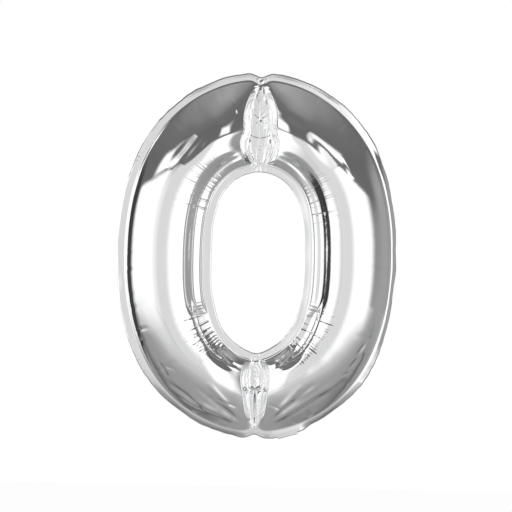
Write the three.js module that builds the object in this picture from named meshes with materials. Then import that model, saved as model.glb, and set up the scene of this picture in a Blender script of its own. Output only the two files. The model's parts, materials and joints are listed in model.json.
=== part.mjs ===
// Silver foil number balloon in the shape of a zero, inflated.
// Millimetres, +Z up, front towards -Y. The origin is the hang point: the outer edge of the seam
// flange in the middle of the notch at the top.
import * as THREE from 'three';

// Outline of the welded flange, about the balloon's own centre
const WIDTH = 664;
const HEIGHT = 864.5; // before the notches, which leave 860 over the lobes
const HOLE_WIDTH = 218;
const HOLE_HEIGHT = 424;
const HOLE_DROP = 15; // the hole's centre lies this far under the outline's centre
const SIDE_POWER = 2.18; // superellipse power at the sides of the outline
const TIP_POWER = 2.04; // and at its top and bottom
const HOLE_POWER_ABOVE = 2.6;
const HOLE_POWER_BELOW = 2.35;
const NOTCH_DEPTH = 11; // the two lobes meet in a notch at the top and at the bottom
const NOTCH_REACH = 18;

// Film and chamber
const FILM = 0.6; // the film is modelled thicker than the real one, so that it is a sound solid
const PLY_GAP = 0.3; // kept between the two films where they are welded
const FLANGE = 20;
const DEPTH_RATIO = 0.75; // the chamber's depth over its width
const STATIONS = 72; // sections round the ring
const ARC_STEPS = 10; // steps over the chamber in each section

// Cross weld at the top and at the bottom, where the ring is pinched into two lobes
const WEB_HALF_WIDTH = 24;
const LOBE_END = 78; // length over which a lobe rises from the web to its full depth
const FAN_START = 0.8; // angle from the cross weld past which the sections point at the hole

// Inflation neck and its valve, on the lower right of the outline
const NECK_ANGLE = -1.34; // place on the outline, in radians from the right-hand side
const NECK_WIDTH = 40;
const NECK_LENGTH = 58;
const NECK_FLARE = 4; // the neck is this much wider on each side at its root and mouth
const NECK_PLY = 0.4;
const ROOT_GAP = 0.5; // between the flange's edge, the fold line and the neck's root
const FOLD = THREE.MathUtils.degToRad(118); // the neck lies folded behind the lower lobe
const VALVE_WIDTH = 32;
const VALVE_LENGTH = 80;
const VALVE_PLY = 0.4;
const VALVE_START = FLANGE + 2; // from the outline's edge, just inside the chamber
const CORNER = 5;

const foil = new THREE.MeshStandardMaterial({ color: 0xd4d6d9, roughness: 0.12, metalness: 1 });
const clearFilm = new THREE.MeshStandardMaterial({
  color: 0xe6ebee,
  roughness: 0.25,
  metalness: 0,
  transparent: true,
  opacity: 0.5,
});

function superellipse(halfWidth, halfHeight, power, angle) {
  const c = Math.cos(angle);
  const s = Math.sin(angle);
  const x = halfWidth * Math.sign(c) * Math.abs(c) ** (2 / power);
  const z = halfHeight * Math.sign(s) * Math.abs(s) ** (2 / power);
  return new THREE.Vector2(x, z);
}

// The flange's outer edge: a superellipse with a small notch at the top and at the bottom
function outerEdge(angle) {
  const power = SIDE_POWER + (TIP_POWER - SIDE_POWER) * Math.sin(angle) ** 4;
  const p = superellipse(WIDTH / 2, HEIGHT / 2, power, angle);
  p.y -= Math.sign(p.y) * NOTCH_DEPTH * Math.exp(-((p.x / NOTCH_REACH) ** 2));
  return p;
}

// The flange's inner edge, round the hole
function holeEdge(angle) {
  const power = Math.sin(angle) > 0 ? HOLE_POWER_ABOVE : HOLE_POWER_BELOW;
  const p = superellipse(HOLE_WIDTH / 2, HOLE_HEIGHT / 2, power, angle);
  p.y -= HOLE_DROP;
  return p;
}

// Angles of the sections from the cross weld they are nearest to, closer together towards it
function quarterAngles() {
  const perQuarter = STATIONS / 4;
  const angles = [];
  for (let i = 0; i <= perQuarter; i++) {
    const u = i / perQuarter;
    angles.push((Math.PI / 2) * (0.4 * u + 0.6 * u * u));
  }
  return angles;
}

// Each section's cross weld (1 top, -1 bottom), side of it (1 right, -1 left) and angle from it
function stations() {
  const there = quarterAngles().slice(0, -1);
  const back = quarterAngles().slice(1).reverse();
  const run = (weld, hand, angles) => angles.map((angle) => ({ weld, hand, angle }));
  return [...run(1, 1, there), ...run(-1, 1, back), ...run(-1, -1, there), ...run(1, -1, back)];
}

// A place in the mid-plane, at share s of the way from the outer edge to the hole. Beside a cross
// weld the sections run parallel to it, and further round they fan out from the hole.
function place({ weld, hand, angle }, s) {
  const halfWidth = THREE.MathUtils.lerp(WIDTH, HOLE_WIDTH, s) / 2;
  const middle = (WIDTH + HOLE_WIDTH) / 4;
  const level = Math.asin(Math.min(1, (Math.sin(angle) * middle) / halfWidth));
  const fan = THREE.MathUtils.smoothstep(angle, 0, FAN_START);
  const turned = weld * (Math.PI / 2 - THREE.MathUtils.lerp(level, angle, fan));
  const p = outerEdge(turned).lerp(holeEdge(turned), s);
  p.x *= hand;
  return p;
}

// How far the chamber stands out of the mid-plane at x, for a place at share s across the ring
function lobeRise(x, s) {
  const web = WEB_HALF_WIDTH * Math.sin(Math.PI * s) ** 0.7;
  const u = THREE.MathUtils.clamp((Math.abs(x) - web) / LOBE_END, 0, 1);
  return Math.sqrt(1 - (1 - u) ** 2);
}

// One section of a film's outside, from the outer edge to the hole; side is -1 in front, 1 behind
function section(station, side) {
  const straight = station.weld * (Math.PI / 2 - station.angle);
  const width = outerEdge(straight).distanceTo(holeEdge(straight));
  const flange = FLANGE / width;
  const chamber = 1 - 2 * flange;
  const face = PLY_GAP / 2 + FILM;
  const at = (s, rise) => {
    const p = place(station, s);
    return new THREE.Vector3(p.x, side * (face + rise), p.y);
  };
  const points = [at(0, 0)];
  for (let i = 0; i <= ARC_STEPS; i++) {
    const turn = (Math.PI * i) / ARC_STEPS;
    const s = flange + (chamber * (1 - Math.cos(turn))) / 2;
    const depth = (DEPTH_RATIO * chamber * width * Math.sin(turn)) / 2;
    points.push(at(s, depth * lobeRise(place(station, s).x, s)));
  }
  points.push(at(1, 0));
  return points;
}

// A closed skin of the film's thickness over the grid of sections
function filmGeometry(side) {
  const rows = stations().map((station) => section(station, side));
  const across = rows[0].length;
  const outside = new THREE.BufferGeometry().setFromPoints(rows.flat());
  const quad = (a, b, c, d) => (side < 0 ? [a, b, c, a, c, d] : [a, c, b, a, d, c]);
  const faces = [];
  for (let i = 0; i < rows.length; i++) {
    const here = i * across;
    const next = ((i + 1) % rows.length) * across;
    for (let j = 0; j < across - 1; j++) {
      faces.push(...quad(here + j, here + j + 1, next + j + 1, next + j));
    }
  }
  outside.setIndex(faces);
  outside.computeVertexNormals();

  const positions = outside.getAttribute('position');
  const normals = outside.getAttribute('normal');
  const count = positions.count;
  const points = rows.flat();
  for (let i = 0; i < count; i++) {
    const normal = new THREE.Vector3().fromBufferAttribute(normals, i);
    points.push(points[i].clone().addScaledVector(normal, -FILM));
  }
  const skin = [...faces];
  for (let i = 0; i < faces.length; i += 3) {
    skin.push(faces[i] + count, faces[i + 2] + count, faces[i + 1] + count);
  }
  for (let i = 0; i < rows.length; i++) {
    const here = i * across;
    const next = ((i + 1) % rows.length) * across;
    const last = across - 1;
    skin.push(...quad(next, next + count, here + count, here));
    skin.push(...quad(here + last, here + last + count, next + last + count, next + last));
  }
  return new THREE.BufferGeometry().setFromPoints(points).setIndex(skin);
}

function addFilms(parent) {
  for (const [name, side] of [['front_film', -1], ['back_film', 1]]) {
    const film = new THREE.Mesh(filmGeometry(side), foil);
    film.name = name;
    parent.add(film);
  }
}

// A flat ply with its outline in X and Z and its thickness along Y, from y to y + thickness
function plyGeometry(outline, y, thickness) {
  const geometry = new THREE.ExtrudeGeometry(outline, {
    depth: thickness,
    bevelEnabled: false,
    curveSegments: 4,
  });
  geometry.rotateX(Math.PI / 2);
  geometry.translate(0, y + thickness, 0);
  return geometry;
}

// The neck's outline: wide at its root, waisted, and flared again at the mouth
function neckOutline() {
  const waist = NECK_WIDTH / 2;
  const wide = waist + NECK_FLARE;
  const outline = new THREE.Shape();
  outline.moveTo(-wide, -ROOT_GAP);
  outline.quadraticCurveTo(-waist, -0.15 * NECK_LENGTH, -waist, -0.4 * NECK_LENGTH);
  outline.quadraticCurveTo(-waist, -0.75 * NECK_LENGTH, -wide, -NECK_LENGTH);
  outline.lineTo(wide, -NECK_LENGTH);
  outline.quadraticCurveTo(waist, -0.75 * NECK_LENGTH, waist, -0.4 * NECK_LENGTH);
  outline.quadraticCurveTo(waist, -0.15 * NECK_LENGTH, wide, -ROOT_GAP);
  outline.closePath();
  return outline;
}

// The valve's outline: a strip with round corners at its inner end
function valveOutline() {
  const half = VALVE_WIDTH / 2;
  const end = VALVE_START + VALVE_LENGTH;
  const outline = new THREE.Shape();
  outline.moveTo(-half, VALVE_START);
  outline.lineTo(half, VALVE_START);
  outline.lineTo(half, end - CORNER);
  outline.absarc(half - CORNER, end - CORNER, CORNER, 0, Math.PI / 2);
  outline.absarc(-half + CORNER, end - CORNER, CORNER, Math.PI / 2, Math.PI);
  outline.closePath();
  return outline;
}

function addPly(parent, name, outline, y, thickness, material) {
  const ply = new THREE.Mesh(plyGeometry(outline, y, thickness), material);
  ply.name = name;
  parent.add(ply);
}

// The neck and the valve share a frame on the outline: X along the edge, -Z out of the balloon
function addNeck(parent) {
  const step = 0.01;
  const root = outerEdge(NECK_ANGLE);
  const along = outerEdge(NECK_ANGLE + step).sub(outerEdge(NECK_ANGLE - step));
  const frame = new THREE.Group();
  frame.position.set(root.x, 0, root.y);
  frame.rotation.y = -Math.atan2(along.y, along.x);
  parent.add(frame);

  const neck = new THREE.Group();
  neck.position.z = -2 * ROOT_GAP;
  neck.rotation.x = FOLD;
  frame.add(neck);
  addPly(neck, 'tail_front_ply', neckOutline(), -PLY_GAP / 2 - NECK_PLY, NECK_PLY, foil);
  addPly(neck, 'tail_back_ply', neckOutline(), PLY_GAP / 2, NECK_PLY, foil);
  addPly(frame, 'valve_front_ply', valveOutline(), -PLY_GAP - VALVE_PLY, VALVE_PLY, clearFilm);
  addPly(frame, 'valve_back_ply', valveOutline(), PLY_GAP, VALVE_PLY, clearFilm);
}

const balloon = new THREE.Group();
balloon.position.z = -outerEdge(Math.PI / 2).y;
addFilms(balloon);
addNeck(balloon);

export default balloon;
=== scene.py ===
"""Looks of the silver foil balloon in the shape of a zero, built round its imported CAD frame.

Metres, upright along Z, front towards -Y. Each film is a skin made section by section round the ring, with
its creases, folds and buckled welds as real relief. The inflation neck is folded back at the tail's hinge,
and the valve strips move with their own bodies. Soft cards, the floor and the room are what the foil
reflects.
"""

import json
import math

import bpy
import numpy as np
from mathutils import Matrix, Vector


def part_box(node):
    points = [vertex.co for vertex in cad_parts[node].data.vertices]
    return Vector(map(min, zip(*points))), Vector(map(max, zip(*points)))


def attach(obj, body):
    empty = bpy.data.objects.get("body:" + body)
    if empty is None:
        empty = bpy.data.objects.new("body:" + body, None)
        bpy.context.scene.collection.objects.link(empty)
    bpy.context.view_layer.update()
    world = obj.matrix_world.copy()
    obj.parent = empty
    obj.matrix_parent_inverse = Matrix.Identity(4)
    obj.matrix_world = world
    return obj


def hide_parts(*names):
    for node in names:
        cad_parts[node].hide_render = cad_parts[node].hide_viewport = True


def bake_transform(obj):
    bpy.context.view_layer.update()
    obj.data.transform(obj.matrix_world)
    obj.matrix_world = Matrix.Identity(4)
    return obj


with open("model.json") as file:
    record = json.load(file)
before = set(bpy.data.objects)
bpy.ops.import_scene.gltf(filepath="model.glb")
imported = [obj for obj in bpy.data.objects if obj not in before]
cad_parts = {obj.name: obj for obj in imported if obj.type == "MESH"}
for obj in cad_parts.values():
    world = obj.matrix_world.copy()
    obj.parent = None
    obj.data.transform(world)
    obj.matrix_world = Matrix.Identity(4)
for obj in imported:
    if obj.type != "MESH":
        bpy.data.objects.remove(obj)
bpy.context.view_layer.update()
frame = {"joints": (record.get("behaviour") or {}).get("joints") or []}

TAU = 2 * math.pi
MM = 0.001

# Flange outline, as in the CAD: the hang point is the origin, in the middle of the notch at the top
film_low, film_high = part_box("front_film")
HALF_WIDTH = film_high.x
HALF_HEIGHT = (film_high.z - film_low.z) / 2 + 0.0022  # before the notches take some off the lobes
CENTRE_Z = (film_high.z + film_low.z) / 2
HOLE_HALF_WIDTH = 0.109
HOLE_HALF_HEIGHT = 0.212
HOLE_DROP = 0.015
FLANGE = 0.020
NOTCH_DEPTH = 0.011
NOTCH_REACH = 0.018
# Superellipse powers of the outlines at the sides, and how much lower they are at the tips
OUTER_POWER = (2.18, 0.14)
HOLE_TOP_POWER = (2.75, 0.6)
HOLE_BOTTOM_POWER = (2.35, 0.45)

# Inflation neck: it leaves the flange's edge on the lower right and is folded back behind the lobe
hinge = next(joint for joint in frame["joints"] if joint["name"] == "tail_fold")
NECK_AXIS = Vector(hinge["axis"])  # across the neck
NECK_OUT = Vector((NECK_AXIS.z, 0, -NECK_AXIS.x))  # out of the balloon
NECK_ROOT = Vector(hinge["pos_m"]) - 0.001 * NECK_OUT  # on the flange's edge
NECK_FOLD = math.radians(118)
NECK_BEND = 0.0021  # the fold's centre lies this far behind the mid-plane
NECK_WAIST = 0.020  # half width
NECK_FLARE = 0.004  # wider at both ends
NECK_LENGTH = 0.0545  # beyond the fold
NECK_LAP = 0.0035  # onto the flange
NECK_STEP = 0.00004  # from the flange to the ply that lies on it
NECK_SEAL = (0.84, 0.89)  # the side seals start between these shares of the half width
NECK_PILLOW = 0.0028  # how far each ply stands off at the mouth
NECK_GRID = (160, 61)

# Valve, inside the chamber and in line with the neck
VALVE_HALF_WIDTH = 0.016
VALVE_START = 0.022  # from the flange's edge
VALVE_LENGTH = 0.080
VALVE_CORNER = 0.005
VALVE_GAP = 0.0003
VALVE_GRID = (61, 33)

# Grid of each film: sections round the ring, points across it
SECTIONS = 860
OUTLINE_STEPS = 6000  # of each outline, before the sections are spaced out
MIDDLE_SMOOTHING = 120  # steps to each side over which the ring's middle line is evened out
SPACING = (0.55, 0.45)  # shares of the hole's edge and of the middle line in the spacing of the sections
CORNER_DENSITY = 1.1  # more sections at the hole's corners
WELD_DENSITY = 1.3  # and at the cross welds
FLANGE_POINTS = 7
CHAMBER_POINTS = 80
LINING_POINTS = 8  # across the chamber in the skin's inner face, which nobody sees
LINING_GAP = 0.45  # its share of the chamber's depth below the outer face
FOIL = 0.00015  # thickness of the skin
SEAM_GAP = 0.0001  # between the two films at the welds
WELD_LINE = 0.12 * MM  # height of the raised line in the middle of each flange

# Film's angles to the mid-plane where it leaves the outer and the inner weld
SIDE_LEANS = (math.radians(88), math.radians(66))
LOBE_LEANS = (math.radians(42), math.radians(100))

# Half width of the cross weld's web, in mm, against the share of the way from the outer edge to the hole
TOP_WEB = {
    0: 0,
    0.1: 2,
    0.134: 7,
    0.206: 13,
    0.31: 20,
    0.41: 25,
    0.52: 25,
    0.6: 24,
    0.65: 29,
    0.7: 32,
    0.79: 28,
    0.876: 21,
    0.94: 12,
    1: 3,
}
BOTTOM_WEB = {0: 0, 0.06: 1, 0.15: 5, 0.3: 11, 0.45: 14, 0.53: 15, 0.6: 18, 0.7: 20, 0.8: 18, 0.87: 11, 1: 0}
WEB_LEVEL = 0.1  # the webs lie farther than this above and below the centre
WALL = 0.014  # a lobe starts with a steep wall this wide beside the web, up to a rim
WALL_SHARE = 0.62  # of the lobe's full depth, on the right
LEFT_WALL_SHARE = 0.5  # and on the left
LOBE_END = 0.095  # and reaches its full depth over this length from the rim
LOBE_POWER = 2.2
SKIRT = 0.024  # this far from the inner weld the film rises gently, and is lower by the drop, before its wall
SKIRT_DROP = 0.017
CORNER_LEVELS = (0.12, 0.235)  # the hole's lower corners lie between these distances below the centre
CORNER_SKIRT = 0.90  # share by which the skirt is lower at the hole's lower corners
LOBE_FROM, LOBE_TO = 0.08, 0.26  # distances from the middle over which a lobe becomes a side

# Relief of the webs: folds across them, and the slit between the rolls of the lower one
UPPER_FOLD = 0.2815  # above the centre
LOWER_FOLD = -0.3200
SLIT_DEPTH = 24.0  # mm
SLIT_HALF_WIDTH = 0.0032
STAR_DROP = 0.44 * 0.224  # the creases' centre below the notch: a share of the upper web's height
STAR_LENGTH = 24 * MM
STAR_DEPTH = 0.9 * MM
STAR_WIDTH = 1.6 * MM
STAR_DIRECTIONS = (42, 88, 137, 218, 250, 286, 322)  # degrees

# How far the flanges bend back, in radians
RIGHT_BEND = 0.95  # the outer one's right-hand side
UNDER_BEND = 0.8  # the outer one under the lower lobes
OUTER_RUFFLE = 0.035
INNER_RUFFLE = 0.018

CAMERA_DISTANCE = 3.4
CAMERA_SIDE = -0.0042
FRAME_SIZE = 1.205  # what the picture spans at the balloon
ROLL = math.radians(-1.2)

# Cards that light the balloon: name, degrees round it from the camera to the right, distance, height above
# the balloon's centre, size, strength, and the shares over which the light fades in from its right, left,
# bottom and top edges
CARDS = (
    ("softbox_left", -58, 1.9, -0.12, (3.3, 2.0), 1.15, (0.30, 0.20, 0.45, 0.06)),
    ("softbox_right", 34, 1.9, -0.15, (2.6, 1.8), 1.20, (0.30, 0.30, 0.35, 0.06)),
    ("wall_front", 0, 4.3, -0.08, (5.0, 2.9), 0.74, (0.15, 0.15, 0.25, 0.18)),
    ("lamp_left", -50, 2.0, 1.26, (1.5, 0.8), 1.40, (0.35, 0.35, 0.20, 0.60)),
    ("lamp_right", 30, 2.0, 1.22, (1.4, 0.7), 1.40, (0.35, 0.35, 0.20, 0.60)),
    ("screen_right", 104, 2.4, 0.10, (3.0, 3.4), 0.36, (0.40, 0.40, 0.30, 0.30)),
    ("flag_left", -124, 2.2, -0.10, (2.3, 3.0), 0.05, (0.10, 0.10, 0.20, 0.20)),
    ("wall_back", 180, 2.6, 0.00, (2.6, 2.2), 0.90, (0.12, 0.12, 0.12, 0.12)),
    ("ceiling_back", 180, 2.0, 2.30, (4.0, 1.6), 0.42, (0.12, 0.12, 0.12, 0.12)),
)

# Brightness of the room from straight down (0) through the horizon (0.5) to straight up (1)
ROOM_TONES = (
    (0.0, 0.50),
    (0.5, 0.30),
    (0.57, 0.28),
    (0.64, 0.15),
    (0.76, 0.14),
    (0.88, 0.17),
    (0.96, 0.30),
    (1.0, 0.42),
)

FLOOR_DROP = 1.5  # below the balloon's centre
FLOOR_REACH = 6.0
FLOOR_SEEN = 0.98
# Brightness of the floor in the balloon's reflections, from its front edge (0) to its back edge (1)
FLOOR_TONES = (
    (0.0, 0.68),
    (0.3, 0.58),
    (0.37, 0.43),
    (0.42, 0.35),
    (0.485, 0.32),
    (0.527, 0.14),
    (0.545, 0.30),
    (1.0, 0.45),
)


# ---------------------------------------------------------------- camera
def add_camera():
    data = bpy.data.cameras.new("camera")
    data.sensor_width = 36
    data.lens = 36 * CAMERA_DISTANCE / FRAME_SIZE
    data.clip_end = 50
    camera = bpy.data.objects.new("camera", data)
    bpy.context.scene.collection.objects.link(camera)
    camera.location = (CAMERA_SIDE, -CAMERA_DISTANCE, CENTRE_Z)
    camera.rotation_euler = (math.pi / 2, ROLL, 0)
    bpy.context.scene.camera = camera


# ---------------------------------------------------------------- helpers
def unit(v):
    return v / np.maximum(np.linalg.norm(v, axis=-1, keepdims=True), 1e-12)


def along(values):
    """Central difference round the ring."""
    return np.roll(values, -1, 0) - np.roll(values, 1, 0)


def smoothstep(a, b, x):
    t = np.clip((x - a) / (b - a), 0, 1)
    return t * t * (3 - 2 * t)


def bump(x, width):
    return np.exp(-((x / width) ** 2))


def furrow(x, half_width):
    """A narrow V, 1 at its middle."""
    return np.clip(1 - np.abs(x) / half_width, 0, 1)


def between(x, low, high, soft):
    return smoothstep(low - soft, low + soft, x) * (1 - smoothstep(high - soft, high + soft, x))


def waves(rng, coordinates, length, count=9):
    """Smooth noise of about unit size: sine waves of about this length in random directions."""
    total = 0
    for _ in range(count):
        way = unit(rng.normal(size=len(coordinates)))
        pace = TAU / (length * rng.uniform(0.7, 1.5))
        total = total + np.sin(pace * sum(w * c for w, c in zip(way, coordinates)) + rng.uniform(0, TAU))
    return total / math.sqrt(count / 2)


# ---------------------------------------------------------------- outlines
def superellipse(half_width, half_height, power, angle):
    c, s = np.cos(angle), np.sin(angle)
    x = half_width * np.sign(c) * np.abs(c) ** (2 / power)
    z = half_height * np.sign(s) * np.abs(s) ** (2 / power)
    return np.stack([x, z], -1)


def outer_edge(angle, notch=True):
    side_power, drop = OUTER_POWER
    power = side_power - drop * np.sin(angle) ** 4
    p = superellipse(HALF_WIDTH, HALF_HEIGHT, power, angle)
    if notch:
        p[..., 1] -= np.sign(p[..., 1]) * NOTCH_DEPTH * bump(p[..., 0], NOTCH_REACH)
    return p


def hole_edge(angle):
    tip = np.sin(angle) ** 4
    top = HOLE_TOP_POWER[0] - HOLE_TOP_POWER[1] * tip
    bottom = HOLE_BOTTOM_POWER[0] - HOLE_BOTTOM_POWER[1] * tip
    power = np.where(np.sin(angle) > 0, top, bottom)
    p = superellipse(HOLE_HALF_WIDTH, HOLE_HALF_HEIGHT, power, angle)
    p[..., 1] -= HOLE_DROP
    return p


def crossing(centre, across, outline):
    """Where the line from each centre along across first meets the closed outline."""
    side = np.stack([-across[:, 1], across[:, 0]], -1)
    rel = outline[None] - centre[:, None]
    off = np.einsum("ijk,ik->ij", rel, side)
    far = np.einsum("ijk,ik->ij", rel, across)
    nxt = np.roll(off, -1, 1)
    hit = (off * nxt <= 0) & (far > 0)
    pick = np.argmin(np.where(hit, far, 9.0), 1)
    rows = np.arange(len(centre))
    a, b = off[rows, pick], nxt[rows, pick]
    share = (a / np.where(a - b == 0, 1e-12, a - b))[:, None]
    return outline[pick] * (1 - share) + np.roll(outline, -1, 0)[pick] * share


def ring_sections():
    """Ends of each section on the outer edge and on the hole's edge, at right angles to the ring's middle
    line. The sections are closer together at the hole's corners and the cross welds, where creases are."""
    angle = np.linspace(0, TAU, OUTLINE_STEPS, endpoint=False) + math.pi / 2
    outer, hole = outer_edge(angle), hole_edge(angle)
    middle = (outer_edge(angle, notch=False) + hole) / 2
    kernel = np.hanning(2 * MIDDLE_SMOOTHING + 1)
    kernel /= kernel.sum()
    wrapped = np.concatenate([middle[-MIDDLE_SMOOTHING:], middle, middle[:MIDDLE_SMOOTHING]])
    middle = np.stack([np.convolve(wrapped[:, k], kernel, "valid") for k in (0, 1)], -1)
    hole_steps, middle_steps = (np.linalg.norm(along(line), axis=1) for line in (hole, middle))
    step = SPACING[0] * hole_steps + SPACING[1] * middle_steps
    level = np.abs(hole[:, 1] + HOLE_DROP)
    at_corners = between(level, 0.09, 0.205, 0.02)
    at_welds = bump(hole[:, 0], 0.045) * (level > 0.1)
    step *= 1 + CORNER_DENSITY * at_corners + WELD_DENSITY * at_welds
    total = np.concatenate([[0], np.cumsum(step)])
    want = np.linspace(0, total[-1], SECTIONS, endpoint=False)
    index = np.interp(want, total, np.arange(len(total)))
    low = index.astype(int) % len(angle)
    share = (index - index.astype(int))[:, None]
    centre = middle[low] * (1 - share) + middle[(low + 1) % len(angle)] * share
    tangent = unit(along(centre))
    out = np.stack([tangent[:, 1], -tangent[:, 0]], -1)
    out *= np.sign((out * centre).sum(1, keepdims=True))
    return crossing(centre, out, outer), crossing(centre, -out, hole)


# ---------------------------------------------------------------- base shape
def tube_profile(leans, points):
    """A film's section over a chamber one unit wide: share across, height. Its curvature changes evenly from
    the outer weld to the inner one."""
    outer_lean, inner_lean = leans
    v = np.linspace(0, 1, points)

    def run(power):
        lean = outer_lean - (outer_lean + inner_lean) * v**power
        mid = (lean[1:] + lean[:-1]) / 2
        x = np.concatenate([[0], np.cumsum(np.cos(mid))])
        y = np.concatenate([[0], np.cumsum(np.sin(mid))])
        return x / x[-1], y / x[-1]

    low, high = 0.3, 3.0
    for _ in range(50):
        power = (low + high) / 2
        if run(power)[1][-1] < 0:
            low = power
        else:
            high = power
    x, y = run(power)
    return x, y - y[-1] * v


def ring_mean(values, reach):
    wrapped = np.concatenate([values[-reach:], values, values[:reach]])
    return np.convolve(wrapped, np.full(2 * reach + 1, 1 / (2 * reach + 1)), "valid")


def web_half_width(share, web):
    """The web's half width at these shares of the way in, from its table, with the corners rounded off."""
    even = np.linspace(-0.1, 1.1, 481)
    rough = np.interp(even, list(web), [MM * width for width in web.values()])
    kernel = np.hanning(37)
    smooth = np.convolve(rough, kernel / kernel.sum(), "same")
    return np.interp(share, even, smooth)


class Ring:
    """The grid that both films share: its places in the mid-plane and the smooth height of the chamber."""

    def __init__(self):
        self.outer, self.hole = ring_sections()
        self.width = np.linalg.norm(self.hole - self.outer, axis=1)
        self.across = (self.hole - self.outer) / self.width[:, None]
        self.middle_x = np.abs(self.outer + self.hole)[:, :1] / 2
        self.place_grid()
        self.place_welds()
        self.raise_lobes()
        self.lower_skirt()

    def place_grid(self):
        share = tube_profile(SIDE_LEANS, CHAMBER_POINTS)[0]
        even = np.linspace(0, 1, CHAMBER_POINTS)
        near = 1 - smoothstep(0.03, 0.12, self.middle_x)  # the cross welds get evenly spaced points
        chamber = share * (1 - near) + even * near
        flange = (FLANGE / self.width)[:, None]
        edge = np.linspace(0, 1, FLANGE_POINTS)[:-1]
        chamber_places = flange + (1 - 2 * flange) * chamber
        self.share = np.concatenate([flange * edge, chamber_places, 1 - flange * edge[::-1]], 1)
        self.plane = self.outer[:, None] + (self.hole - self.outer)[:, None] * self.share[..., None]
        self.x, self.z = self.plane[..., 0], self.plane[..., 1]
        self.top = self.z > 0
        zero = np.zeros((len(flange), len(edge)))
        self.rise = np.concatenate([zero, self.chamber_rise(chamber), zero], 1)

    def chamber_rise(self, chamber):
        """Height over the mid-plane: one section on the sides, another in the lobes by the cross welds."""
        side = np.interp(chamber, *tube_profile(SIDE_LEANS, 2000))
        lobe = np.interp(chamber, *tube_profile(LOBE_LEANS, 2000))
        as_lobe = 1 - smoothstep(LOBE_FROM, LOBE_TO, self.middle_x)
        rise = side * (1 - as_lobe) + lobe * as_lobe
        return rise * (ring_mean(self.width, 45) - 2 * FLANGE)[:, None]

    def place_welds(self):
        """Both welds' lines, their length so far and their place round the ring, and each point's distance
        from them in the mid-plane, into the chamber."""
        self.weld_in = self.hole - self.across * FLANGE
        self.weld_out = self.outer + self.across * FLANGE
        self.arc_in, self.arc_out = (
            np.concatenate([[0], np.cumsum(np.linalg.norm(np.diff(weld, axis=0), axis=1))])
            for weld in (self.weld_in, self.weld_out)
        )
        self.turn_in = np.degrees(np.arctan2(self.weld_in[:, 1] + HOLE_DROP, self.weld_in[:, 0])) % 360
        self.turn_out = np.degrees(np.arctan2(self.weld_out[:, 1], self.weld_out[:, 0])) % 360
        reach = self.share * self.width[:, None]
        self.from_outer = reach - FLANGE
        self.from_hole = self.width[:, None] - reach - FLANGE

    def raise_lobes(self):
        """The chamber is shut at the webs. Its lobes rise beside each web, in a wall and then in a curve."""
        web = np.where(self.top, web_half_width(self.share, TOP_WEB), web_half_width(self.share, BOTTOM_WEB))
        at_ends = np.abs(self.z) > WEB_LEVEL
        self.web = np.where(at_ends, web, 0)
        past = np.abs(self.x) - self.web
        beyond = 1 - (1 - np.clip((past - WALL) / LOBE_END, 0, 1)) ** LOBE_POWER
        wall_share = np.where(self.x < 0, LEFT_WALL_SHARE, WALL_SHARE)
        lobe = wall_share * np.clip(past / WALL, 0, 1) + (1 - wall_share) * beyond
        self.rise = self.rise * np.where(at_ends, lobe, 1)
        self.in_web = 1 - smoothstep(-0.004, 0, past)
        self.open = smoothstep(0, 0.006, self.from_outer) * smoothstep(0, 0.005, self.from_hole)
        self.open = self.open * smoothstep(0.6 * WALL, 3 * WALL, past)

    def lower_skirt(self):
        """The skirt round the hole, which is lower still at the hole's lower corners."""
        skirt = smoothstep(0, SKIRT, self.from_hole) * (1 - smoothstep(SKIRT, 1.85 * SKIRT, self.from_hole))
        corner = between(-self.z, *CORNER_LEVELS, 0.03) * smoothstep(0.03, 0.08, np.abs(self.x))
        self.rise = self.rise - SKIRT_DROP * skirt * smoothstep(0.04, 0.11, np.abs(self.x)) * (1 - corner)
        near_hole = 1 - smoothstep(0.8 * SKIRT, 1.4 * SKIRT, self.from_hole)
        self.rise *= 1 - CORNER_SKIRT * corner * near_hole


# ---------------------------------------------------------------- creases
OUTER_CREASES = 46
UPPER_CRINKLES, LOWER_CRINKLES = 60, 40  # in the two webs
HOLE_CORNERS = ((28, 62), (112, 152), (210, 248), (292, 330))  # degrees round the hole from +X

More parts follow.
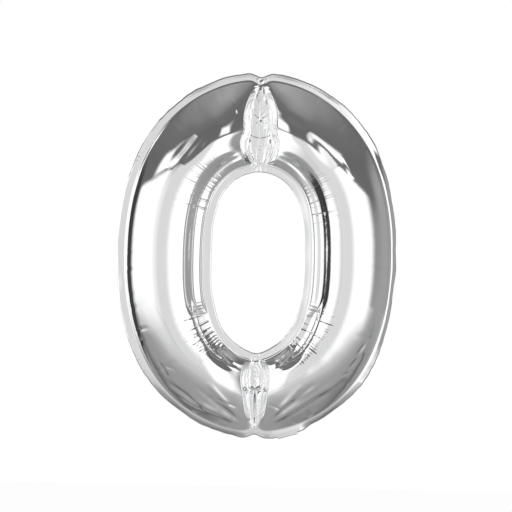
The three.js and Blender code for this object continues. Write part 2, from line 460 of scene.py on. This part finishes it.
# In front, at the hole's corners: place round the hole in degrees from +X, length, depth and width in mm, and
# slant in degrees
HOLE_CREASES = (
    # bottom left
    (216.0, 40, 0.6, 1.5, 0),
    (218.2, 44, 0.8, 1.5, 0),
    (220.4, 44, 0.8, 1.5, 0),
    (222.6, 40, 0.7, 1.5, 0),
    (226.5, 76, 1.6, 1.8, -3),
    (231.5, 62, 1.5, 1.8, 4),
    (235.3, 26, 0.9, 1.6, 0),
    (238.6, 48, 1.7, 1.8, -2),
    (241.0, 24, 1.3, 1.6, 0),
    (242.8, 30, 1.6, 1.6, 3),
    (244.6, 24, 1.4, 1.6, 0),
    (246.4, 26, 1.6, 1.6, -3),
    (248.4, 20, 1.3, 1.6, 2),
    (250.4, 18, 1.2, 1.6, 0),
    # bottom right
    (291.3, 26, 1.4, 1.7, 3),
    (296.0, 40, 1.6, 1.8, 0),
    (299.0, 22, 1.0, 1.6, -4),
    (304.5, 56, 1.6, 1.8, 5),
    (308.5, 24, 0.9, 1.6, 0),
    (313.4, 80, 1.7, 1.9, 2),
    (318.0, 38, 0.7, 1.5, 0),
    (320.5, 42, 0.7, 1.5, 0),
    (323.0, 36, 0.6, 1.5, 0),
    # top right
    (31.0, 40, 0.6, 1.5, 0),
    (36.1, 66, 1.3, 1.7, 0),
    (42.5, 68, 1.5, 1.8, -4),
    (49.6, 44, 1.3, 1.7, 5),
    (56.0, 24, 0.9, 1.6, 0),
    (60.0, 20, 0.8, 1.6, 3),
    # top left
    (110.0, 22, 1.0, 1.6, 0),
    (113.0, 26, 1.3, 1.6, -3),
    (116.0, 24, 1.2, 1.6, 2),
    (119.0, 26, 1.3, 1.6, 0),
    (122.6, 36, 1.5, 1.8, -4),
    (129.6, 58, 1.6, 1.8, 0),
    (134.6, 76, 1.6, 1.8, 3),
    (140.0, 44, 0.7, 1.5, 0),
    (142.6, 48, 0.8, 1.5, 0),
    (145.2, 44, 0.7, 1.5, 0),
    (148.0, 36, 0.6, 1.5, 0),
)


def crease(ring, start, way, length, depth, width):
    """A sharp groove with raised lips, from a place in the mid-plane. It fades out at its end."""
    rel = ring.plane - start
    far = rel @ way
    off = rel @ np.array([-way[1], way[0]])
    near = (np.abs(off) < 6 * width + 0.02) & (far > -0.01) & (far < length * 1.1)
    fade = np.where(near, smoothstep(-0.006, 0.006, far) * np.clip(1 - far / length, 0, 1) ** 0.7, 0)
    spread = width * (1 + 6 * np.clip(far, 0, 1))
    return fade * depth * (0.3 * bump(off, 3.2 * spread) - bump(off, spread))


def turned(way, degrees):
    c, s = math.cos(math.radians(degrees)), math.sin(math.radians(degrees))
    return np.array([c * way[0] - s * way[1], s * way[0] + c * way[1]])


def hole_creases(ring, side, rng):
    """The listed creases in front, and the same ones mirrored and moved a little at the back."""
    total = np.zeros_like(ring.x)
    for place, length, depth, width, slant in HOLE_CREASES:
        if side > 0:
            place = 180 - place + rng.uniform(-3, 3)
            length *= rng.uniform(0.8, 1.2)
        i = np.argmin(np.abs((ring.turn_in - place + 180) % 360 - 180))
        way = turned(-ring.across[i], slant)
        total += crease(ring, ring.weld_in[i], way, length * MM, depth * MM, width * MM)
    return total


def outer_creases(ring, rng):
    """Soft puckers from the outer weld inwards, most of them on the lower half."""
    total = np.zeros_like(ring.x)
    for _ in range(OUTER_CREASES):
        place = rng.uniform(0, 360)
        low_half = math.sin(math.radians(place)) < 0
        length = rng.uniform(25, 75) * (1 if low_half else 0.7)
        depth = rng.uniform(0.4, 1.3) * (1 if low_half else 0.45)
        i = np.argmin(np.abs((ring.turn_out - place + 180) % 360 - 180))
        way = turned(ring.across[i], rng.uniform(-14, 14))
        total += crease(ring, ring.weld_out[i], way, length * MM, depth * MM, rng.uniform(3, 7) * MM)
    return total


def ripples(ring, rng):
    """Fine ripples at the hole's corners, running away from the hole."""
    place = ring.turn_in
    corner = sum(between(place, *degrees, 6) for degrees in HOLE_CORNERS)[:, None]
    patchy = 0.55 + 0.45 * waves(rng, (ring.x, ring.z), 0.03)
    depth = between(ring.from_hole, 0.012, 0.07, 0.012)
    fine = np.sin(TAU * ring.arc_in / 0.0052)[:, None] * 0.16 * MM
    coarse = np.sin(TAU * ring.arc_in / 0.0143 + 1.0)[:, None] * 0.16 * MM
    return corner * depth * np.clip(patchy, 0, 1.3) * (fine + coarse)


def hole_folds(ring):
    """Folds that spread from the cross weld's end and run along the hole's edge."""
    place = ring.turn_in
    near_weld = (between(place, 62, 118, 14) + between(place, 248, 292, 12))[:, None]
    fade = between(ring.from_hole, 0.006, 0.032, 0.006)
    drift = 0.12 * np.abs(np.sin(np.radians(place)))[:, None]
    fine = np.sin(TAU * (ring.from_hole + 0.02 * drift) / 0.0062 + 1.3)
    return near_weld * fade * MM * (0.75 * np.sin(TAU * ring.from_hole / 0.0125) + 0.3 * fine)


def undulation(ring, rng):
    """Gentle unevenness of the whole film, least on the long straight sides."""
    wide = waves(rng, (ring.x, ring.z), 0.17) * 0.9 * MM
    mid = waves(rng, (ring.x, ring.z), 0.06) * 0.10 * MM
    ends = 0.16 + 0.84 * smoothstep(0.14, 0.34, np.abs(ring.z))
    return (wide + mid) * ends * smoothstep(0, 0.03, ring.from_outer) * smoothstep(0, 0.03, ring.from_hole)


# Soft folds of the lobes in front: place of one end in the mid-plane, direction in degrees, length, depth and
# width, all but the direction in mm. A negative depth is a ridge.
LOBE_FOLDS = (
    (-205, -300, -33, 120, 2.6, 5.0),
    (-196, -316, -30, 110, -2.2, 7.0),
    (-226, -250, -58, 44, 1.8, 3.0),
    (-215, -258, -20, 34, 1.4, 3.0),
    (-104, -328, -22, 74, 1.5, 2.4),
    (-26, -402, 150, 150, -3.6, 6.0),
    (-26, -396, 141, 150, 3.0, 5.0),
    (-24, -390, 132, 130, -3.2, 5.5),
    (-80, -366, 163, 110, -2.0, 7.0),
    (18, -404, 50, 140, -3.4, 6.0),
    (20, -400, 42, 160, 3.0, 5.0),
    (26, -398, 34, 180, -3.4, 7.0),
    (60, -350, 30, 110, -1.6, 6.0),
    (14, -340, -18, 60, 1.3, 2.4),
    (70, -378, 32, 120, 1.4, 5.0),
    (150, -318, 38, 80, -1.3, 7.0),
    (232, -232, 55, 48, 1.8, 4.0),
    (246, -224, 60, 40, -1.6, 4.0),
    (214, -262, 48, 46, 1.6, 4.0),
    (196, -276, 20, 30, 1.4, 3.0),
    (-52, 330, 112, 40, -1.3, 2.2),
    (-214, 202, 50, 100, 2.0, 10.0),
    (-178, 208, 50, 120, 2.2, 10.0),
    (60, 332, -38, 66, 1.2, 9.0),
    (104, 292, -52, 112, 1.4, 11.0),
    (190, 236, -62, 60, -0.8, 3.5),
)


def lobe_folds(ring, side, rng):
    total = np.zeros_like(ring.x)
    for x, z, degrees, length, depth, width in LOBE_FOLDS:
        if side > 0:
            x, degrees = -x, 180 - degrees
            length *= rng.uniform(0.7, 1.3)
            z += rng.uniform(-15, 15)
        start, way = np.array([x, z]) * MM, turned((1, 0), degrees)
        rel = ring.plane - start
        far = (rel @ way) / (length * MM)
        off = rel @ np.array([-way[1], way[0]])
        taper = np.sin(math.pi * np.clip(far, 0, 1)) ** 0.8
        total -= taper * depth * MM * bump(off, width * MM)
    return total * smoothstep(0.002, 0.03, ring.from_outer)


# ---------------------------------------------------------------- the cross weld's web
def web_relief(ring, rng):
    """How far the welded web stands forward, in both films alike."""
    x, z, half = ring.x, ring.z, np.maximum(ring.web, 1e-4)
    side = np.abs(x) / half
    beads = np.sin(TAU * z / 0.0053) * bump(side - 0.80, 0.07)
    total = np.where(ring.top, upper_web(x, z, half, side), lower_web(x, z, half, side))
    total += 1.2 * MM * (1 - side**2) + 0.22 * MM * beads
    total += web_crinkles(ring, rng)
    upright = (x, 0.4 * z)  # the gathers run up and down the web
    total += waves(rng, upright, 0.007, 14) * 0.05 * MM
    total += waves(rng, upright, 0.02, 14) * 0.16 * MM
    total += waves(rng, (x, z), 0.0042, 24) * 0.10 * MM
    return total * ring.in_web


def upper_web(x, z, half, side):
    """A smile-shaped fold parts a tall lens above from a short one below. Heights are in mm."""
    fold = z - UPPER_FOLD - 0.009 * side**2
    below = between(z, 0.205, 0.270, 0.006)
    above = between(z, 0.292, 0.385, 0.010)
    relief = 1.3 * bump(fold + 0.0045, 0.0035) - 1.1 * bump(fold, 0.0013)
    relief += 1.6 * bump(np.abs(x) - 0.80 * half, 0.0022) * below
    relief += 0.16 * np.sin(TAU * z / 0.0082) * below * bump(side, 0.25)
    relief += 0.7 * bump(np.abs(x) - 0.88 * half, 0.0018) * above
    relief -= 0.15 * bump(x + 0.001, 0.0014) * above
    return relief * MM


def lower_web(x, z, half, side):
    """A lens above, and below it two soft rolls with a deep slit between them. Heights are in mm."""
    fold = z - LOWER_FOLD - 0.010 * side**2
    lens = between(z, -0.308, -0.240, 0.008)
    legs = between(z, -0.405, -0.328, 0.010)
    relief = 1.7 * bump(np.abs(x) - 0.84 * half, 0.0024) * lens
    relief += 0.18 * np.sin(TAU * z / 0.0105) * lens * bump(side, 0.3)
    relief += 2.4 * bump(fold - 0.006, 0.0040) - 3.4 * bump(fold, 0.0026)
    relief += 1.4 * bump(np.abs(x) - 0.5 * half, 0.36 * half) * legs
    relief -= SLIT_DEPTH * furrow(x, SLIT_HALF_WIDTH) * legs
    return relief * MM


def web_crinkles(ring, rng):
    """Short random creases all over the webs, and a star of longer ones in the upper lens."""
    total = np.zeros_like(ring.x)
    for sign, count in ((1, UPPER_CRINKLES), (-1, LOWER_CRINKLES)):
        for _ in range(count):
            share = rng.uniform(0.1, 0.95)
            z_edge = HALF_HEIGHT - NOTCH_DEPTH
            z_hole = HOLE_HALF_HEIGHT - sign * HOLE_DROP
            z = sign * (z_edge + (z_hole - z_edge) * share)
            start = np.array([rng.uniform(-0.024, 0.024), z])
            way = turned((1, 0), rng.uniform(0, 360))
            depth = rng.choice((-1, 1)) * rng.uniform(0.05, 0.2) * MM
            total += crease(ring, start, way, rng.uniform(6, 20) * MM, depth, rng.uniform(1.1, 1.8) * MM)
    star = np.array([0.0, HALF_HEIGHT - NOTCH_DEPTH - STAR_DROP])
    for degrees in STAR_DIRECTIONS:
        total += crease(ring, star, turned((1, 0), degrees), STAR_LENGTH, STAR_DEPTH, STAR_WIDTH)
    return total


def knots(ring, rng):
    """Gathered foil at the ends of the cross welds, in both films alike."""
    rough = waves(rng, (ring.x, ring.z), 0.008, 14)
    ends = 0
    for z in (HALF_HEIGHT - NOTCH_DEPTH - 0.014, HOLE_HALF_HEIGHT - HOLE_DROP + 0.010):
        ends = ends + bump(np.hypot(ring.x, ring.z - z), 0.014)
    for z in (HALF_HEIGHT - NOTCH_DEPTH - 0.010, HOLE_HALF_HEIGHT + HOLE_DROP + 0.008):
        ends = ends + bump(np.hypot(ring.x, ring.z + z), 0.012)
    return 0.35 * MM * rough * ends


# ---------------------------------------------------------------- flanges
def flange_lean(ring, rng, outer):
    """How far a flange bends back out of the mid-plane round its ring, in radians. The outer one lies folded
    back on the right-hand side and under the lower lobes; the rest only ruffles."""
    arc = ring.arc_out if outer else ring.arc_in
    length = arc[-1] + np.linalg.norm(ring.weld_out[0] - ring.weld_out[-1] if outer else 0)
    total = 0
    for count in (5, 9, 14, 23) if outer else (3, 6, 11):
        total = total + rng.uniform(0.5, 1.0) * np.sin(TAU * count * arc / length + rng.uniform(0, TAU))
    if not outer:
        return INNER_RUFFLE * total
    x, z = ring.weld_out[:, 0], ring.weld_out[:, 1]
    right = smoothstep(0.14, 0.31, x) * between(z, -0.24, 0.24, 0.11)
    away = 1 - near_neck(ring)
    calm = (1 - 0.75 * smoothstep(0.25, 0.38, z)) * away
    under = UNDER_BEND * (1 - smoothstep(-0.36, -0.26, z)) * away * smoothstep(0.01, 0.05, np.abs(x))
    return OUTER_RUFFLE * total * calm + np.maximum(RIGHT_BEND * right, under)


def near_neck(ring):
    """1 where the outer flange carries the neck, 0 away from it."""
    place = np.array([NECK_ROOT.x, NECK_ROOT.z - CENTRE_Z])
    return 1 - smoothstep(0.032, 0.065, np.linalg.norm(ring.outer - place, axis=1))


def flange_curl(lean, points):
    """Places along a flange one unit wide that bends by lean: outward, back, and its direction there."""
    fine = 6  # steps from one point to the next
    t = np.linspace(0, 1, fine * (points - 1) + 1)
    angle = lean[:, None] * smoothstep(0.05, 0.55, t)[None]
    step = 1 / (len(t) - 1)
    mid = (angle[:, 1:] + angle[:, :-1]) / 2
    zero = np.zeros((len(lean), 1))
    out = np.concatenate([zero, np.cumsum(np.cos(mid) * step, 1)], 1)
    back = np.concatenate([zero, np.cumsum(np.sin(mid) * step, 1)], 1)
    return out[:, ::fine], back[:, ::fine], angle[:, ::fine]


def trim(rng, arc):
    """The flange's cut edge isn't quite even: its width against the designed one."""
    return 0.985 - 0.025 * waves(rng, (arc,), 0.09) - 0.008 * waves(rng, (arc,), 0.025)


# ---------------------------------------------------------------- films
def grid_normals(points):
    du = np.roll(points, -1, 0) - np.roll(points, 1, 0)
    dv = np.empty_like(points)
    dv[:, 1:-1] = points[:, 2:] - points[:, :-2]
    dv[:, 0] = points[:, 1] - points[:, 0]
    dv[:, -1] = points[:, -1] - points[:, -2]
    return unit(np.cross(du, dv))


def film_points(ring, shared, side):
    """A film's outer face: the smooth chamber, its creases along the normal, the web and the flanges."""
    rng = np.random.default_rng(11 if side < 0 else 23)
    level = side * (SEAM_GAP / 2 + FOIL)
    points = np.stack([ring.x, level + side * ring.rise, ring.z + CENTRE_Z], -1)
    normal = grid_normals(points)
    normal *= side * np.sign(normal[..., 1:2] + 1e-9)
    relief = hole_creases(ring, side, rng) + outer_creases(ring, rng) + ripples(ring, rng)
    relief += hole_folds(ring) + undulation(ring, rng) + lobe_folds(ring, side, rng)
    points += normal * (relief * ring.open)[..., None]
    points[..., 1] -= shared["web"] + shared["knots"]
    for inner, columns in ((False, slice(0, FLANGE_POINTS)), (True, slice(-FLANGE_POINTS, None))):
        points[:, columns] = flange_points(ring, shared, side, inner)
        points[:, columns, 1] -= shared["knots"][:, columns]
    return points


def flange_points(ring, shared, side, inner):
    """A flange from its weld outwards, bent back, with a raised line along the middle of the weld."""
    out, back, angle = shared["curl"][inner]
    weld = ring.weld_in if inner else ring.weld_out
    radial = ring.across if inner else -ring.across
    width = FLANGE * shared["trim"][inner]
    t = np.linspace(0, 1, FLANGE_POINTS)
    lift = side * (SEAM_GAP / 2 + FOIL) + side * WELD_LINE * bump(t - 0.5, 0.12)
    flat = weld[:, None] + radial[:, None] * (out * width[:, None] - np.sin(angle) * lift)[..., None]
    y = back * width[:, None] + np.cos(angle) * lift - shared["pucker"][inner] * smoothstep(0, 0.4, t)
    strip = np.stack([flat[..., 0], y, flat[..., 1] + CENTRE_Z], -1)
    return strip if inner else strip[:, ::-1]


def shared_relief(ring):
    """What both films do together where they are welded: the web, the knots and the flanges."""
    rng = np.random.default_rng(5)
    shared = {"web": web_relief(ring, rng), "knots": knots(ring, rng), "curl": {}, "trim": {}, "pucker": {}}
    for inner, arc in ((False, ring.arc_out), (True, ring.arc_in)):
        shared["curl"][inner] = flange_curl(flange_lean(ring, rng, not inner), FLANGE_POINTS)
        whole = bump(np.minimum(arc, arc[-1] - arc), 0.02)
        if not inner:
            whole = np.maximum(whole, near_neck(ring))
        shared["trim"][inner] = trim(rng, arc) * (1 - whole) + whole
        fine = waves(rng, (arc,), 0.009, 12) * np.clip(waves(rng, (arc,), 0.08), 0, 2)
        shared["pucker"][inner] = 0.02 * MM * fine[:, None] * (1 - whole[:, None])
    return shared


def lining_columns():
    """Columns of the grid that the skin's inner face keeps: all of the flanges, few over the chamber."""
    chamber = np.linspace(FLANGE_POINTS - 1, FLANGE_POINTS + CHAMBER_POINTS - 2, LINING_POINTS + 2)
    last = 2 * (FLANGE_POINTS - 1) + CHAMBER_POINTS
    flanges = list(range(FLANGE_POINTS)) + list(range(last - FLANGE_POINTS, last))
    return np.unique(np.concatenate([flanges, np.round(chamber).astype(int)]))


def band(first, second, flip):
    """Faces between two rings of vertex numbers."""
    faces = np.stack([first, second, np.roll(second, -1), np.roll(first, -1)], -1)
    return faces[:, ::-1] if flip else faces


def skin_mesh(name, points, side, rise, columns):
    """A closed skin over a grid that is closed round the ring: the outer face, a coarser lining and two rims.
    The lining stands well clear of the outer face where the chamber is deep, so that no dent meets it."""
    n, m = points.shape[:2]
    normal = grid_normals(points)
    normal *= side * np.sign(normal[..., 1:2] + 1e-9)
    lining = points - normal * FOIL
    lining[..., 1] -= side * LINING_GAP * rise
    lining = lining[:, columns]
    co = np.concatenate([points.reshape(-1, 3), lining.reshape(-1, 3)])
    i = np.arange(n)
    k = len(columns)
    flip = side > 0
    faces = [band(i * m + j, i * m + j + 1, flip) for j in range(m - 1)]
    faces += [band(n * m + i * k + j, n * m + i * k + j + 1, not flip) for j in range(k - 1)]
    faces.append(band(n * m + i * k, i * m, flip))
    faces.append(band(i * m + m - 1, n * m + i * k + k - 1, flip))
    return mesh_object(name, co, np.concatenate(faces), 2 * n)


def mesh_object(name, co, faces, rims):
    """A smooth mesh of four-sided faces, whose last ones are the flat faces of its rims."""
    mesh = bpy.data.meshes.new(name)
    mesh.vertices.add(len(co))
    mesh.vertices.foreach_set("co", co.astype(np.float32).ravel())
    mesh.loops.add(faces.size)
    mesh.loops.foreach_set("vertex_index", faces.astype(np.int32).ravel())
    mesh.polygons.add(len(faces))
    mesh.polygons.foreach_set("loop_start", np.arange(0, faces.size, 4, dtype=np.int32))
    mesh.polygons.foreach_set("use_smooth", np.arange(len(faces)) < len(faces) - rims)
    mesh.update(calc_edges=True)
    mesh.validate()
    obj = bpy.data.objects.new(name, mesh)
    bpy.context.scene.collection.objects.link(obj)
    return obj


# ---------------------------------------------------------------- neck and valve
def neck_place(across, out, back):
    """Places beside the neck's root, from distances across the neck, out of the balloon and back."""
    flat = across[..., None] * np.array(NECK_AXIS) + out[..., None] * np.array(NECK_OUT)
    return np.array(NECK_ROOT) + flat + back[..., None] * np.array([0, 1, 0])


def neck_ply(name, front, foil, node):
    """One ply of the inflation neck: it laps the flange, bends back round the fold and runs on to the mouth,
    with a waist, ribbed seals down both sides and two creases across. The plies part towards the mouth."""
    outward = 1 if front else -1
    level = -outward * (SEAM_GAP / 2 + FOIL + NECK_STEP)
    rows, columns = NECK_GRID
    turn, rest, out, back = neck_path(level, rows)
    side = outward * np.linspace(-1, 1, columns)[None]
    far = rest / NECK_LENGTH
    across = (NECK_WAIST + NECK_FLARE * np.abs(2 * far - 1) ** 2.2) * side
    lift = neck_relief(front, outward, across, side, rest, far)
    points = neck_place(across, out + lift * np.sin(turn), back - lift * np.cos(turn))
    return ply_object(name, points, foil, node)


def neck_path(level, rows):
    """Down the middle of a ply: how far it has turned, its distance past the fold, its way out and back."""
    radius = NECK_BEND - level
    reach = np.linspace(0, NECK_LAP + radius * NECK_FOLD + NECK_LENGTH, rows)[:, None]
    turn = np.clip((reach - NECK_LAP) / radius, 0, NECK_FOLD)
    rest = np.maximum(reach - NECK_LAP - radius * NECK_FOLD, 0)
    out = np.minimum(reach - NECK_LAP, 0) + radius * np.sin(turn) + rest * math.cos(NECK_FOLD)
    back = level + radius * (1 - np.cos(turn)) + rest * math.sin(NECK_FOLD)
    return turn, rest, out, back


def neck_relief(front, outward, x, side, rest, far):
    """How far a ply stands off its path: both plies sway and crease alike, and each has its own ruffle."""
    rng = np.random.default_rng(41 if front else 43)
    both = np.random.default_rng(77)
    y = rest + 0 * side
    seal = smoothstep(*NECK_SEAL, np.abs(side))
    pillow = NECK_PILLOW * np.cos(math.pi * side / 2) ** 0.7 * smoothstep(0.04, 0.5, far) * (0.6 + 0.4 * far)
    ruffle = np.abs(waves(rng, (x, 0.5 * y), 0.020)) * 0.35 * MM * (1 - seal)
    rib = 0.05 * MM * np.sin(TAU * y / 0.0018) * seal
    creases = 0.9 * MM * (bump(y - 0.020 - 0.25 * x, 0.0016) - bump(y - 0.037 + 0.4 * x, 0.0016))
    sway = waves(both, (x, y), 0.035) * 0.7 * MM + 1.5 * MM * side**3 * far
    return smoothstep(0.03, 0.2, far) * (sway + creases + rib + outward * (pillow + ruffle))


def ply_object(name, points, material, node):
    """A closed sheet of the foil's thickness over an open grid."""
    rows, columns = points.shape[:2]
    du = np.gradient(points, axis=0)
    dv = np.gradient(points, axis=1)
    under = points - unit(np.cross(du, dv)) * FOIL
    co = np.concatenate([points.reshape(-1, 3), under.reshape(-1, 3)])
    i, j = np.arange(rows - 1)[:, None], np.arange(columns - 1)[None]
    a = i * columns + j
    top = np.stack([a, a + columns, a + columns + 1, a + 1], -1).reshape(-1, 4)
    n = rows * columns
    first_row = np.arange(columns)
    last_row = n - 1 - np.arange(1, columns)
    last_column = columns - 1 + columns * np.arange(1, rows)
    first_column = columns * np.arange(rows - 2, 0, -1)
    edge = np.concatenate([first_row, last_column, last_row, first_column])
    ahead = np.roll(edge, -1)
    rim = np.stack([edge, ahead, ahead + n, edge + n], -1)
    obj = mesh_object(name, co, np.concatenate([top, top[:, ::-1] + n, rim]), len(rim))
    obj.data.materials.append(material)
    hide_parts(node)
    return obj


def valve_ply(name, front, film, node):
    """One ply of the self-sealing valve: a soft clear strip inside the chamber, rounded at its inner end."""
    outward = -1 if front else 1
    rng = np.random.default_rng(30 + outward)
    rows, columns = VALVE_GRID
    reach = np.linspace(0, VALVE_LENGTH, rows)[:, None]
    inset = np.maximum(reach - VALVE_LENGTH + VALVE_CORNER, 0)
    half = VALVE_HALF_WIDTH - VALVE_CORNER + np.sqrt(VALVE_CORNER**2 - inset**2)
    across = -outward * half * np.linspace(-1, 1, columns)[None]
    inwards = -(VALVE_START + reach) + 0 * across
    free = smoothstep(0, 0.03, reach)
    ripple = np.abs(waves(rng, (across, inwards), 0.03)) * 0.35 * MM
    ripple += (1 + waves(rng, (across, inwards), 0.009)) * 0.03 * MM
    points = neck_place(across, inwards, outward * (VALVE_GAP + free * ripple))
    obj = ply_object(name, points, film, node)
    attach(obj, "valve_front" if front else "valve_back")


def add_neck(foil):
    """The plies bend between the balloon and the tail over the fold, just behind the neck's root."""
    for name, front, node in (("neck_front", True, "tail_front_ply"), ("neck_back", False, "tail_back_ply")):
        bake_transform(neck_ply(name, front, foil, node))


def add_valve():
    film = clear_film_material()
    valve_ply("valve_strip_front", True, film, "valve_front_ply")
    valve_ply("valve_strip_back", False, film, "valve_back_ply")


# ---------------------------------------------------------------- materials
def new_material(name):
    material = bpy.data.materials.new(name)
    material.use_nodes = True
    return material, material.node_tree.nodes, material.node_tree.links


def noise(nodes, links, scale, detail):
    texture = nodes.new("ShaderNodeTexNoise")
    texture.inputs["Scale"].default_value = scale
    texture.inputs["Detail"].default_value = detail
    links.new(nodes.new("ShaderNodeTexCoord").outputs["Object"], texture.inputs["Vector"])
    return texture.outputs["Fac"]


def add_haze(nodes, links, haze, roughness, tones):
    """Roughness and colour drift between two values each with the haze."""
    shader = nodes["Principled BSDF"]
    rough = nodes.new("ShaderNodeMapRange")
    rough.inputs["To Min"].default_value, rough.inputs["To Max"].default_value = roughness
    links.new(haze, rough.inputs["Value"])
    links.new(rough.outputs[0], shader.inputs["Roughness"])
    tone = nodes.new("ShaderNodeMix")
    tone.data_type = "RGBA"
    tone.inputs[6].default_value, tone.inputs[7].default_value = tones
    links.new(haze, tone.inputs[0])
    links.new(tone.outputs[2], shader.inputs["Base Color"])


def clear_film_material():
    material, nodes, links = new_material("valve_film")
    shader = nodes["Principled BSDF"]
    shader.inputs["Alpha"].default_value = 0.5
    shader.inputs["IOR"].default_value = 1.5
    tones = ((0.78, 0.82, 0.85, 1), (0.90, 0.92, 0.93, 1))
    add_haze(nodes, links, noise(nodes, links, 60, 2), (0.12, 0.3), tones)
    return material


def foil_material():
    """Bright metal, nearly a mirror, with a faint haze and a very fine grain."""
    material, nodes, links = new_material("silver_foil")
    shader = nodes["Principled BSDF"]
    shader.inputs["Metallic"].default_value = 1
    tones = ((0.90, 0.905, 0.915, 1), (0.96, 0.96, 0.962, 1))
    add_haze(nodes, links, noise(nodes, links, 9, 5), (0.035, 0.10), tones)
    relief = nodes.new("ShaderNodeBump")
    relief.inputs["Strength"].default_value = 0.12
    relief.inputs["Distance"].default_value = 0.00025
    links.new(noise(nodes, links, 260, 2), relief.inputs["Height"])
    links.new(relief.outputs[0], shader.inputs["Normal"])
    return material


# ---------------------------------------------------------------- studio
def glow_material(name, strength, soft):
    """Light that fades in over these shares of the card, from its right, left, bottom and top edges."""
    material, nodes, links = new_material(name)
    nodes.clear()
    out = nodes.new("ShaderNodeOutputMaterial")
    glow = nodes.new("ShaderNodeEmission")
    clear = nodes.new("ShaderNodeBsdfTransparent")
    mix = nodes.new("ShaderNodeMixShader")
    glow.inputs["Strength"].default_value = strength
    split = nodes.new("ShaderNodeSeparateXYZ")
    links.new(nodes.new("ShaderNodeTexCoord").outputs["Generated"], split.inputs[0])
    share = None
    for axis, (low, high) in ((0, soft[:2]), (1, soft[2:])):
        for start, end in ((0, low), (1, 1 - high)):
            fade = nodes.new("ShaderNodeMapRange")
            fade.interpolation_type = "SMOOTHSTEP"
            fade.inputs["From Min"].default_value = start
            fade.inputs["From Max"].default_value = end
            links.new(split.outputs[axis], fade.inputs["Value"])
            if share is None:
                share = fade.outputs[0]
                continue
            both = nodes.new("ShaderNodeMath")
            both.operation = "MULTIPLY"
            links.new(share, both.inputs[0])
            links.new(fade.outputs[0], both.inputs[1])
            share = both.outputs[0]
    links.new(share, mix.inputs[0])
    links.new(clear.outputs[0], mix.inputs[1])
    links.new(glow.outputs[0], mix.inputs[2])
    links.new(mix.outputs[0], out.inputs[0])
    return material


def flat_mesh(name, half_width, half_height):
    w, h = half_width, half_height
    mesh = bpy.data.meshes.new(name)
    mesh.from_pydata([(-w, -h, 0), (w, -h, 0), (w, h, 0), (-w, h, 0)], [], [(0, 1, 2, 3)])
    obj = bpy.data.objects.new(name, mesh)
    bpy.context.scene.collection.objects.link(obj)
    return obj


def card(name, turn, distance, height, size, strength, soft):
    """A lit card that faces the balloon's upright axis. The camera doesn't see it."""
    obj = flat_mesh(name, size[0] / 2, size[1] / 2)
    obj.data.materials.append(glow_material(name, strength, soft))
    angle = math.radians(turn)
    place = Vector((distance * math.sin(angle), -distance * math.cos(angle), CENTRE_Z + height))
    obj.location = place
    obj.rotation_euler = (Vector((0, 0, CENTRE_Z + height)) - place).to_track_quat("Z", "Y").to_euler()
    obj.visible_camera = False
    obj.visible_shadow = False


def tone_ramp(nodes, links, place, tones):
    """A tone by place from 0 to 1."""
    node = nodes.new("ShaderNodeValToRGB")
    while len(node.color_ramp.elements) < len(tones):
        node.color_ramp.elements.new(0.5)
    for element, (position, tone) in zip(node.color_ramp.elements, tones):
        element.position = position
        element.color = (tone, tone, tone, 1)
    links.new(place, node.inputs[0])
    return node.outputs[0]


def generated_place(nodes, links):
    split = nodes.new("ShaderNodeSeparateXYZ")
    links.new(nodes.new("ShaderNodeTexCoord").outputs["Generated"], split.inputs[0])
    return split.outputs


def show(nodes, links, mirrored, seen, surface):
    """One look for the camera, another one for reflections."""
    path = nodes.new("ShaderNodeLightPath")
    mix = nodes.new("ShaderNodeMixShader")
    links.new(path.outputs["Is Camera Ray"], mix.inputs[0])
    links.new(mirrored.outputs[0], mix.inputs[1])
    links.new(seen.outputs[0], mix.inputs[2])
    links.new(mix.outputs[0], surface)


def add_world():
    """White behind the balloon, and the dim grey of the room in its reflections."""
    bpy.context.scene.view_settings.view_transform = "Standard"
    world = bpy.data.worlds.new("studio")
    bpy.context.scene.world = world
    world.use_nodes = True
    nodes, links = world.node_tree.nodes, world.node_tree.links
    height = nodes.new("ShaderNodeMapRange")
    height.inputs["From Min"].default_value = -1
    links.new(generated_place(nodes, links)[2], height.inputs["Value"])
    room = nodes["Background"]
    room.inputs["Color"].default_value = (1, 1, 1, 1)
    links.new(tone_ramp(nodes, links, height.outputs[0], ROOM_TONES), room.inputs["Strength"])
    white = nodes.new("ShaderNodeBackground")
    white.inputs["Color"].default_value = (1, 1, 1, 1)
    show(nodes, links, room, white, nodes["World Output"].inputs[0])


def add_floor():
    """Plain pale floor, well below the balloon. In the balloon's reflections it is pale in front and darkens
    to an edge under the balloon."""
    floor = flat_mesh("floor", FLOOR_REACH, FLOOR_REACH)
    floor.location = (0, 0, CENTRE_Z - FLOOR_DROP)
    material, nodes, links = new_material("floor")
    nodes.clear()
    seen = nodes.new("ShaderNodeEmission")
    seen.inputs["Strength"].default_value = FLOOR_SEEN
    mirrored = nodes.new("ShaderNodeEmission")
    place = generated_place(nodes, links)[1]
    links.new(tone_ramp(nodes, links, place, FLOOR_TONES), mirrored.inputs["Strength"])
    show(nodes, links, mirrored, seen, nodes.new("ShaderNodeOutputMaterial").inputs[0])
    floor.data.materials.append(material)


def main():
    add_camera()
    foil = foil_material()
    ring = Ring()
    shared = shared_relief(ring)
    for name, node, side in (("film_front", "front_film", -1), ("film_back", "back_film", 1)):
        film = skin_mesh(name, film_points(ring, shared, side), side, ring.rise, lining_columns())
        film.data.materials.append(foil)
        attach(film, "balloon")
        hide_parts(node)
    add_neck(foil)
    add_valve()
    add_world()
    for values in CARDS:
        card(*values)
    add_floor()


main()
